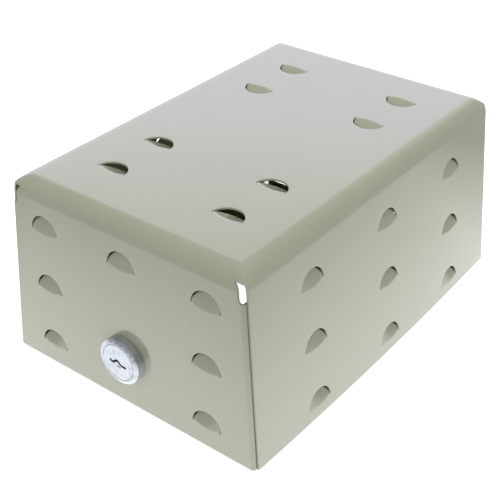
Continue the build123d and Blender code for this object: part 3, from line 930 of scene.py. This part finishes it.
def thicken(item):
    # inwards from the outer skin
    thick = item.modifiers.new("sheetThickness", "SOLIDIFY")
    thick.thickness = cover["sheet"] * mm
    thick.offset = -1.0
    thick.use_even_offset = True
    thick.use_quality_normals = True


def buildCover():
    skin = buildSkin()
    skin.normal_update()
    turnOutwards(skin)
    folded = skinToObject(skin, "foldedSheet")
    tongue = buildTongue()
    points = louvrePoints()
    tree = louvreTree()
    louvred = folded.modifiers.new("louvres", "NODES")
    louvred.node_group = tree
    entries = [entry for entry in tree.interface.items_tree if entry.in_out == "INPUT"]
    sockets = {entry.name: entry.identifier for entry in entries}
    louvred[sockets["Tongue"]] = tongue
    louvred[sockets["Places"]] = points
    louvred[sockets["Finish"]] = finishes["beige_enamel"]
    piece = bakeNodes(folded, "louvredCover")
    bpy.data.objects.remove(tongue)
    bpy.data.objects.remove(points)
    springSides(piece.data)
    thicken(piece)
    finishEdges(piece, cover["edgeRound"])
    settle(piece, "cover_shell")
    return piece


louvredCover = buildCover()
faceCount = len(louvredCover.data.polygons)
print("cover folded:", len(louvrePlaces), "louvres,", faceCount, "faces in the skin")


# Hard pieces that keep their CAD form; each gets its edges rounded by this width in millimetres
softened = {
    "back_plate": 0.20,
    "keeper_bracket": 0.22,
    "keeper_rivets": 0.08,
    "lock_housing": 0.12,
    "lock_washer": 0.08,
    "lock_nut": 0.20,
    "lock_plug": 0.08,
    "retainer_wafer": 0.08,
    "stop_washer": 0.10,
    "cam": 0.18,
    "cam_washer": 0.10,
    "cam_screw": 0.10,
    **{f"wafer_{i}": 0.08 for i in range(1, 6)},
}
softening = {"weld": 0.002, "flatAngle": math.radians(0.6)}
platePlan = {"rimTop": 5.0, "clearance": 0.4, "innerHalf": 60.0}


def camelName(node):
    first, *rest = node.split("_")
    return first + "".join(part.capitalize() for part in rest)


def drawInSides(mesh):
    # the side rims of the plate keep clear of the corner strips of the cover
    half = sideLine(platePlan["rimTop"]) - 2 * sideSheet - platePlan["clearance"]
    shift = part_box("back_plate")[1][0] / mm - half
    for vertex in mesh.vertices:
        if abs(vertex.co.x) > platePlan["innerHalf"] * mm:
            vertex.co.x -= math.copysign(shift * mm, vertex.co.x)


def cleanMesh(mesh):
    # welded, flat faces made whole, sharp only where faces meet at more than the crease angle
    work = bmesh.new()
    work.from_mesh(mesh)
    bmesh.ops.remove_doubles(work, verts=work.verts, dist=softening["weld"] * mm)
    bmesh.ops.dissolve_limit(
        work,
        angle_limit=softening["flatAngle"],
        use_dissolve_boundaries=False,
        verts=work.verts,
        edges=work.edges,
        delimit=set(),
    )
    for face in work.faces:
        face.smooth = True
    for edge in work.edges:
        folded = len(edge.link_faces) == 2 and edge.calc_face_angle(0.0) >= edgeFinish["crease"]
        edge.smooth = not folded
    work.to_mesh(mesh)
    work.free()


def softenedCopy(node, width):
    mesh = nodes[node].data.copy()
    mesh.name = camelName(node)
    if node == "back_plate":
        drawInSides(mesh)
    cleanMesh(mesh)
    mesh.materials.clear()
    mesh.materials.append(finishes[slotOf[node]])
    piece = intoScene(bpy.data.objects.new(camelName(node), mesh))
    finishEdges(piece, width)
    settle(piece, node)


for node, width in softened.items():
    softenedCopy(node, width)
for node in ("wafer_springs", "retainer_spring"):
    for entry in nodes[node].material_slots:
        entry.material = finishes[slotOf[node]]
print("fittings softened:", len(softened))


# Studio: white floor and surround, wide soft boxes; metres unless a line says otherwise
studio = {
    "floorSize": 6.0,
    "floorDrop": 0.3,        # below the plate, in mm
    "floorInset": 4.0,       # how far the floor reaches under the plate, in mm
    "floorGlow": 0.70,
    "floorTone": 0.80,
    "groundHalf": {"X": 0.070, "Y": 0.098},     # half of the ground that the box covers
    "glowNear": 1.40,        # what glossy faces see of the floor beside the box, and further out
    "glowFar": 0.40,
    "glowReach": 0.14,
    "skyTone": (0.97, 0.98, 1.0),
    "sky": 0.85,             # strength below the first height, and above the second
    "ceiling": 0.45,
    "skyHeights": (0.15, 0.75),
    "coolWhite": (0.80, 0.79, 1.0),
    "window": (-0.55, 0.70, 0.45),       # where the large window stands that the front mirrors
    "windowEdge": (0.70, 0.90),
    "windowTop": (0.46, 0.70),
    "windowShine": 1.34,
    "roomTone": (0.94, 0.96, 1.0),
    "roomShine": 0.38,
}
softBoxes = {
    "topBox": {"place": (-0.2, 0.5, 1.5), "aim": (0, 0, 0.05), "size": (1.6, 1.2), "watts": 14.0},
    "sideBox": {"place": (1.5, 0.1, 0.7), "aim": (0, 0, 0.04), "size": (1.2, 1.0), "watts": 3.6},
    "frontBox": {"place": (-0.9, -1.4, 0.7), "aim": (0, 0, 0.04), "size": (1.4, 1.0), "watts": 5},
}
white = (1.0, 1.0, 1.0, 1.0)


def splitByRay(tree, plain, glossy, direct):
    # one shader for plain rays, one for glossy rays and one for what the camera sees directly
    ray = addNode(tree, "ShaderNodeLightPath").outputs
    seen = mathOf(tree, "MAXIMUM", ray["Is Camera Ray"], ray["Is Transmission Ray"])
    inputs = {0: ray["Is Glossy Ray"], 1: plain, 2: glossy}
    indirect = addNode(tree, "ShaderNodeMixShader", inputs).outputs[0]
    return addNode(tree, "ShaderNodeMixShader", {0: seen, 1: indirect, 2: direct}).outputs[0]


def lightOf(tree, kind, colour, strength):
    return addNode(tree, kind, {"Color": colour, "Strength": strength}).outputs[0]


def floorMaterial():
    # matt white that glows for the camera; glossy faces see a pool of light beside the box
    material = bpy.data.materials.new("studioWhite")
    material.use_nodes = True
    tree = material.node_tree
    tree.nodes.clear()
    place = addNode(tree, "ShaderNodeSeparateXYZ", {"Vector": objectPlace(tree)}).outputs
    gaps = [
        mathOf(tree, "SUBTRACT", mathOf(tree, "ABSOLUTE", place[axis]), half)
        for axis, half in studio["groundHalf"].items()
    ]
    gap = mathOf(tree, "MAXIMUM", *gaps)
    pool = rangeBetween(tree, gap, studio["glowNear"], studio["glowFar"], 0.0, studio["glowReach"])
    sheen = lightOf(tree, "ShaderNodeEmission", white, pool)
    glow = lightOf(tree, "ShaderNodeEmission", white, studio["floorGlow"])
    tone = (studio["floorTone"],) * 3 + (1.0,)
    matt = addNode(tree, "ShaderNodeBsdfDiffuse", {"Color": tone}).outputs[0]
    both = addNode(tree, "ShaderNodeAddShader", {0: glow, 1: matt}).outputs[0]
    out = addNode(tree, "ShaderNodeOutputMaterial")
    tree.links.new(splitByRay(tree, matt, sheen, both), out.inputs["Surface"])
    return material


def buildFloor():
    # open under the back plate, so that its underside is lit and seen from below
    half = studio["floorSize"] / 2
    low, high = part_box("back_plate")
    under = studio["floorInset"] * mm
    turns = [(-1, -1), (1, -1), (1, 1), (-1, 1)]
    corners = [(x * half, y * half) for x, y in turns]
    corners += [(low.x + under, low.y + under), (high.x - under, low.y + under)]
    corners += [(high.x - under, high.y - under), (low.x + under, high.y - under)]
    faces = [(i, (i + 1) % 4, 4 + (i + 1) % 4, 4 + i) for i in range(4)]
    mesh = bpy.data.meshes.new("studioFloor")
    mesh.from_pydata([(x, y, -studio["floorDrop"] * mm) for x, y in corners], [], faces)
    mesh.materials.append(floorMaterial())
    floor = intoScene(bpy.data.objects.new("studioFloor", mesh))


def buildWorld():
    # plain white for the camera, a window in a dimmer room for glossy faces, a soft sky otherwise
    world = bpy.data.worlds.new("studioSurround")
    bpy.context.scene.world = world
    world.use_nodes = True
    tree = world.node_tree
    tree.nodes.clear()
    direction = addNode(tree, "ShaderNodeTexCoord").outputs["Generated"]
    height = addNode(tree, "ShaderNodeSeparateXYZ", {"Vector": direction}).outputs["Z"]
    level = rangeBetween(tree, height, studio["sky"], studio["ceiling"], *studio["skyHeights"])
    ambient = lightOf(tree, "ShaderNodeBackground", (*studio["skyTone"], 1.0), level)
    inputs = {0: direction, 1: studio["window"]}
    towards = addNode(tree, "ShaderNodeVectorMath", inputs, operation="DOT_PRODUCT")
    across = rangeBetween(tree, towards.outputs["Value"], 0.0, 1.0, *studio["windowEdge"])
    below = rangeBetween(tree, height, 1.0, 0.0, *studio["windowTop"])
    share = mathOf(tree, "MULTIPLY", across, below)
    tone = mixColours(tree, share, (*studio["roomTone"], 1.0), (*studio["coolWhite"], 1.0))
    shine = rangeBetween(tree, share, studio["roomShine"], studio["windowShine"])
    mirrored = lightOf(tree, "ShaderNodeBackground", tone, shine)
    direct = lightOf(tree, "ShaderNodeBackground", white, 1.0)
    out = addNode(tree, "ShaderNodeOutputWorld")
    tree.links.new(splitByRay(tree, ambient, mirrored, direct), out.inputs["Surface"])


def hangSoftBox(name, box):
    light = bpy.data.lights.new(name, "AREA")
    light.shape = "RECTANGLE"
    light.size, light.size_y = box["size"]
    light.energy = box["watts"]
    lamp = intoScene(bpy.data.objects.new(name, light))
    lamp.visible_glossy = False          # it lights the box, but the enamel doesn't mirror it
    aim = Vector(box["aim"]) - Vector(box["place"])
    turn = aim.to_track_quat("-Z", "Y").to_matrix().to_4x4()
    lamp.matrix_world = Matrix.Translation(box["place"]) @ turn


buildFloor()
buildWorld()
for name, box in softBoxes.items():
    hangSoftBox(name, box)
bpy.context.scene.view_settings.view_transform = "Standard"
print("studio lit:", len(softBoxes), "soft boxes")
